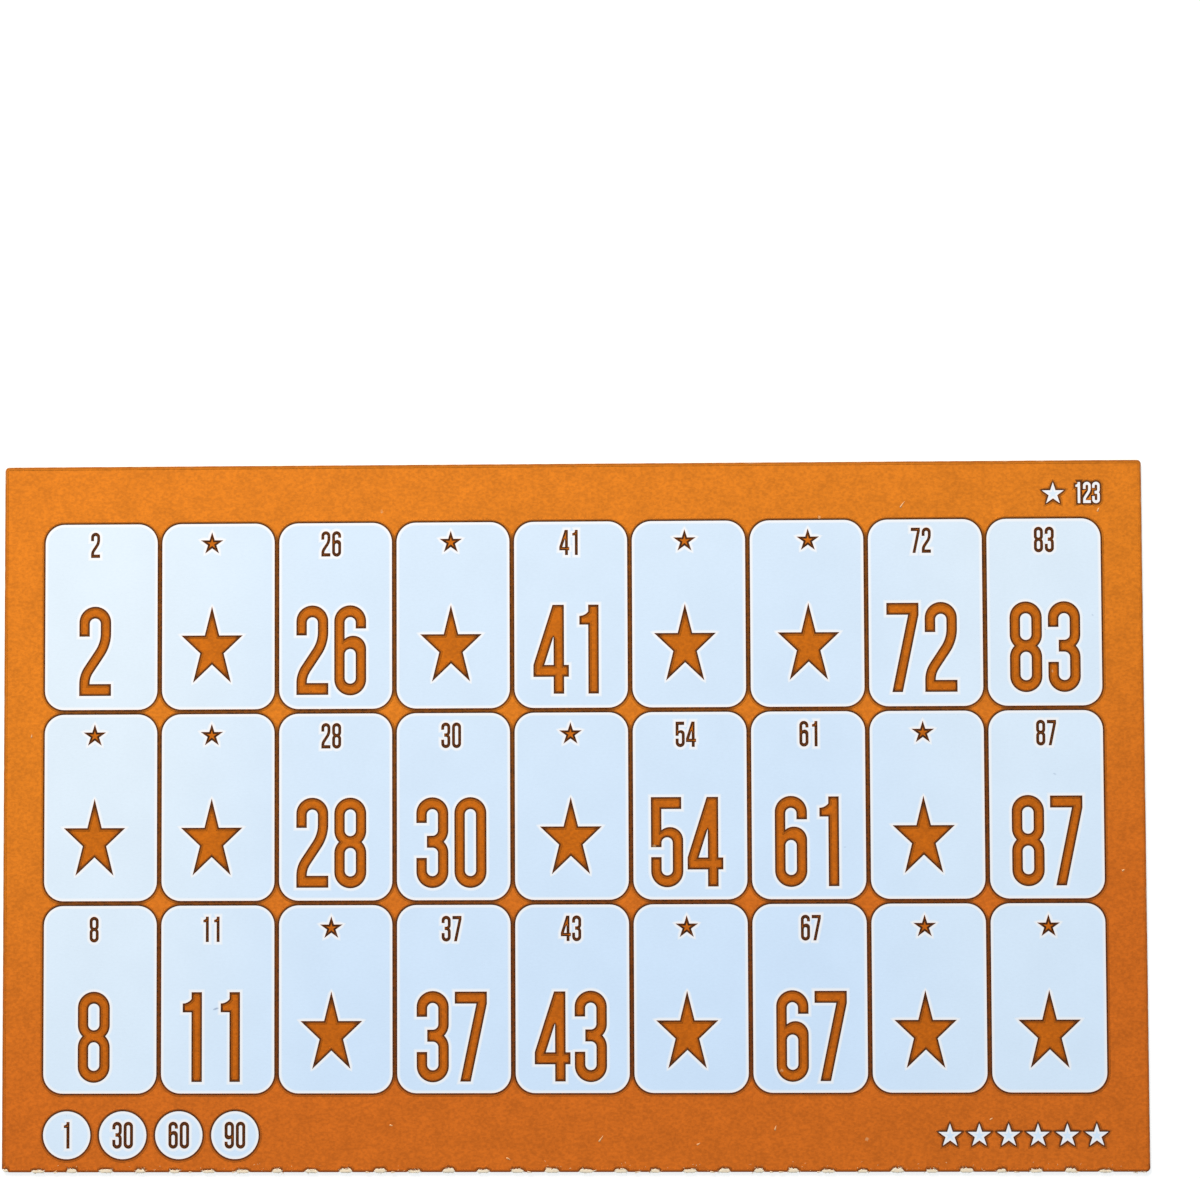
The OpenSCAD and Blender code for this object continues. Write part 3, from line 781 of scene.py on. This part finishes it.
def back_liner():
    """Uncoated liner: warm white with cloudy formation, fibres that show, dark specks and rubbed edges."""
    made, tree, shader = new_material("uncoated back liner", 0.82, 0.15)
    tooth = use(tree, TOOTH, Fine=3200.0, Broad=240.0, Draw=0.3)
    clouds = spread(tree, tooth["Clouds"], 0.3, 0.7)
    colour = blend(tree, clouds, (0.72, 0.69, 0.62, 1.0), (0.79, 0.765, 0.7, 1.0))
    colour = blend(tree, 1.0, colour, spread(tree, tooth["Tooth"], 0.3, 0.7, 0.93, 1.05), "MULTIPLY")
    specks = use(tree, FLECKS, Scale=380.0, Share=0.12, Size=0.06)["Mask"]
    colour = blend(tree, calc(tree, "MULTIPLY", specks, 0.5), colour, (0.33, 0.29, 0.24, 1.0))
    worn = use(tree, HANDLED, Reach=1.2 * MM)["Mask"]
    colour = blend(tree, calc(tree, "MULTIPLY", worn, 0.25), colour, (0.52, 0.48, 0.42, 1.0))
    tree.links.new(colour, shader.inputs["Base Color"])
    tree.links.new(spread(tree, tooth["Clouds"], 0.3, 0.7, 0.76, 0.88), shader.inputs["Roughness"])
    bump(tree, shader, tooth["Tooth"], 0.014)
    return made


def table_top():
    """Pale table that keeps the card's shadow and fades to white round it.

    The camera sees it lifted towards white. It is clear from below, and clear to what leaves the card's
    underside, so that the back can be looked at.
    """
    made = bpy.data.materials.new("pale table")
    made.use_nodes = True
    tree = made.node_tree
    tree.nodes.remove(tree.nodes["Principled BSDF"])
    plain = put(tree, "ShaderNodeBsdfDiffuse", {"Color": (0.47, 0.44, 0.4, 1.0)}).outputs[0]
    ray = put(tree, "ShaderNodeLightPath").outputs
    seen = calc(tree, "MAXIMUM", ray["Is Camera Ray"], ray["Is Transmission Ray"])
    seen = calc(tree, "MAXIMUM", seen, ray["Is Glossy Ray"])
    lift = calc(tree, "MULTIPLY", seen, TABLE_LIFT)
    glow = put(tree, "ShaderNodeEmission", {"Strength": lift}).outputs[0]
    lit = put(tree, "ShaderNodeAddShader", {0: plain, 1: glow}).outputs[0]
    away = put(tree, "ShaderNodeVectorMath", {0: place_of(tree)}, operation="LENGTH").outputs["Value"]
    far = calc(tree, "MULTIPLY", seen, spread(tree, away, *TABLE_FADE))
    white = put(tree, "ShaderNodeEmission").outputs[0]
    lit = put(tree, "ShaderNodeMixShader", {0: far, 1: lit, 2: white}).outputs[0]
    under = calc(tree, "LESS_THAN", ray["Ray Length"], UNDER_CARD)
    under = calc(tree, "MAXIMUM", under, put(tree, "ShaderNodeNewGeometry").outputs["Backfacing"])
    clear = put(tree, "ShaderNodeBsdfTransparent").outputs[0]
    mixed = put(tree, "ShaderNodeMixShader", {0: under, 1: lit, 2: clear}).outputs[0]
    tree.links.new(mixed, tree.nodes["Material Output"].inputs["Surface"])
    return made


TOOTH = paper_tooth()
FLECKS = stray_flecks()
HANDLED = handled_edge()
PAINTED_SHADE_RUN = painted_shade_run()
SCUFF = scuff()

# The second colour of each ink is its painted shade at the lower right of the card.
GROUND_INK = orange_ink("orange ground ink", (0.792, 0.214, 0.012), (0.7, 0.152, 0.011))
FIGURE_INK = orange_ink("orange figure ink", (0.63, 0.15, 0.004), (0.61, 0.134, 0.004))
FACE = white_face()
PULP = pulp_core()
LINER = back_liner()


# The card

rng = np.random.default_rng(90)
board_ply("back_ply", "back_ply", LINER, "back_liner")
board_ply("core_ply", "face_ply", PULP, "pulp_core")
board_ply("face_ply", "face_ply", FACE, "white_face")
torn_edge(PULP, rng)
tie_fibres(PULP, rng)
pulled_fibres(PULP, rng)
crumbs(PULP, rng)
flakes(PULP, rng)

inked = [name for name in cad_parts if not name.endswith("_ply")]
for name in inked:
    ink_film(name, GROUND_INK if name == "ground_print" else FIGURE_INK)
squeezed_rims("ground_rims", ["ground_print"], GROUND_INK)
squeezed_rims("figure_rims", [name for name in inked if name != "ground_print"], FIGURE_INK)
bare_lines(inked, FACE)


# Table, light and camera

half = TABLE_SIZE / 2
table = bpy.data.meshes.new("table")
corners = [(x, y, TABLE_LEVEL) for x, y in ((-half, -half), (half, -half), (half, half), (-half, half))]
table.from_pydata(corners, [], [(0, 1, 2, 3)])
table.materials.append(table_top())
table = bpy.data.objects.new("table", table)
bpy.context.scene.collection.objects.link(table)


def lamp(name, kind, place, power, colour, **settings):
    """A lamp at a place, or a sun in its direction, that faces the card."""
    data = bpy.data.lights.new(name, kind)
    data.energy, data.color = power, colour
    for key, value in settings.items():
        setattr(data, key, value)
    made = bpy.data.objects.new(name, data)
    made.location = place
    made.rotation_euler = (-Vector(place)).to_track_quat("-Z", "Y").to_euler()
    bpy.context.scene.collection.objects.link(made)


# A soft window behind the top edge, and level light on the underside, which the table lets through
lamp("window", "AREA", WINDOW, 2.25, WINDOW_COLOUR, shape="SQUARE", size=0.2)
lamp("under_light", "SUN", BELOW, 1.5, BELOW_COLOUR, angle=math.radians(120))

world = bpy.data.worlds.new("studio")
bpy.context.scene.world = world
world.use_nodes = True
tree = world.node_tree
ray = put(tree, "ShaderNodeLightPath").outputs
seen = calc(tree, "MAXIMUM", ray["Is Camera Ray"], ray["Is Transmission Ray"])
sky = put(tree, "ShaderNodeBackground", {"Color": SKY_COLOUR, "Strength": SKY_STRENGTH}).outputs[0]
white = put(tree, "ShaderNodeBackground", {"Color": WHITE, "Strength": 1.0}).outputs[0]
mixed = put(tree, "ShaderNodeMixShader", {0: seen, 1: sky, 2: white}).outputs[0]
tree.links.new(mixed, tree.nodes["World Output"].inputs["Surface"])

data = bpy.data.cameras.new("camera")
data.lens = LENS
camera = bpy.data.objects.new("camera", data)
turn = Euler([math.radians(a) for a in CAMERA_TURN])
camera.rotation_euler = turn
camera.location = Vector((*CAMERA_AIM, 0)) * MM + turn.to_matrix() @ Vector((0, 0, CAMERA_DISTANCE * MM))
bpy.context.scene.collection.objects.link(camera)
bpy.context.scene.camera = camera
bpy.context.scene.view_settings.view_transform = "Standard"
